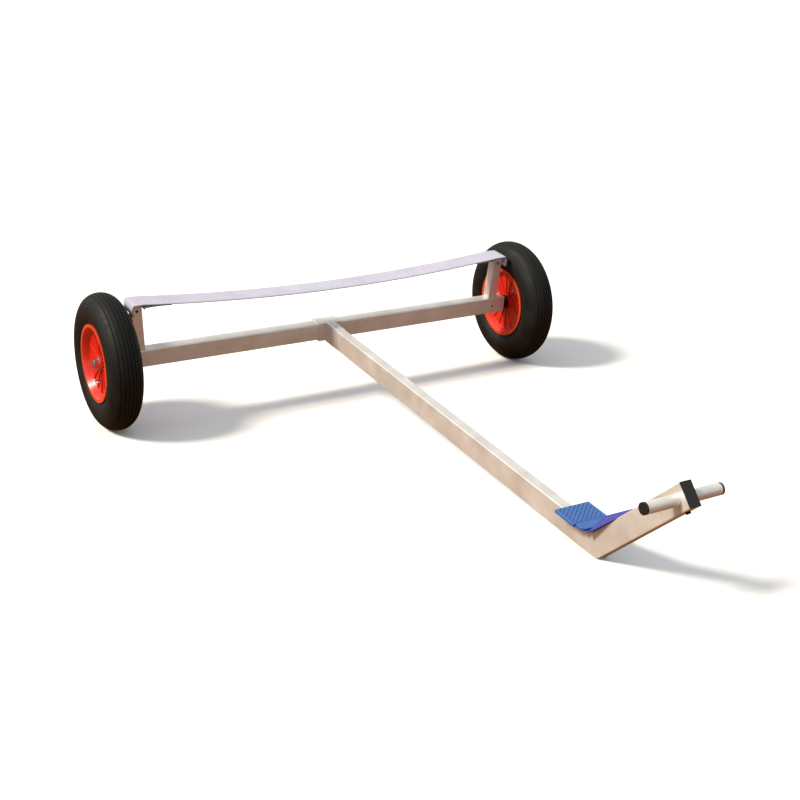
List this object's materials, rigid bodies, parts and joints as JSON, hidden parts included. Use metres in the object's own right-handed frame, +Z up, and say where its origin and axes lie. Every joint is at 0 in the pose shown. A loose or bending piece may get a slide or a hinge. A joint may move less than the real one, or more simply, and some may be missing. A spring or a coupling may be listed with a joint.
{
  "type": "dinghy trolley",
  "caption": "Launching trolley for a dinghy: wheels on a square-tube axle beam, a webbing sling between posts, and a cranked drawbar with bow pad and cross handle.",
  "frame": {"origin": "on the floor, under the middle of the trolley's overall outline", "axes": "+X along the axle to the right wheel, drawbar towards -Y, +Z up from the floor"},
  "size_m": [1.5102, 1.8682, 0.4],
  "materials": {
    "aluminium": "mill finish extrusion, satin",
    "tyre_rubber": "ribbed black rubber",
    "rim_plastic": "moulded red-orange polypropylene",
    "nylon": "natural nylon",
    "valve_rubber": "black rubber",
    "axle_steel": "bright zinc plate",
    "bolt_steel": "dull stainless",
    "black_plastic": "moulded black polyethylene",
    "pad_plastic": "moulded blue plastic, dimpled",
    "webbing": "off-white polyester webbing"
  },
  "bodies": {
    "frame": {"stub_axle_right": "axle_steel", "axle_washer_right": "axle_steel", "axle_nut_right": "axle_steel", "axle_spacer_right": "axle_steel", "beam_plug_right": "black_plastic", "handle_cap_right": "black_plastic", "sling_post_right": "aluminium", "stub_axle_left": "axle_steel", "axle_washer_left": "axle_steel", "axle_nut_left": "axle_steel", "axle_spacer_left": "axle_steel", "beam_plug_left": "black_plastic", "handle_cap_left": "black_plastic", "sling_post_left": "aluminium", "axle_beam": "aluminium", "drawbar_tube": "aluminium", "riser_tube": "aluminium", "drawbar_spigot": "aluminium", "handle_tube": "aluminium", "drawbar_socket": "aluminium", "sling": "webbing", "socket_bolt": "bolt_steel", "handle_bolt": "bolt_steel", "riser_plug": "black_plastic", "bow_pad": "pad_plastic", "bow_foot": "pad_plastic", "bow_leg": "pad_plastic"},
    "wheel_right": {"tyre_right": "tyre_rubber", "rim_right": "rim_plastic", "hub_bush_right": "nylon", "valve_stem_right": "valve_rubber"},
    "wheel_left": {"tyre_left": "tyre_rubber", "rim_left": "rim_plastic", "hub_bush_left": "nylon", "valve_stem_left": "valve_rubber"}
  },
  "joints": [
    {"name": "wheel_right_spin", "type": "hinge", "parent": "frame", "child": "wheel_right", "pos_m": [0.705, 0.73411, 0.2], "axis": [1, 0, 0], "continuous": true},
    {"name": "wheel_left_spin", "type": "hinge", "parent": "frame", "child": "wheel_left", "pos_m": [-0.705, 0.73411, 0.2], "axis": [1, 0, 0], "continuous": true}
  ]
}
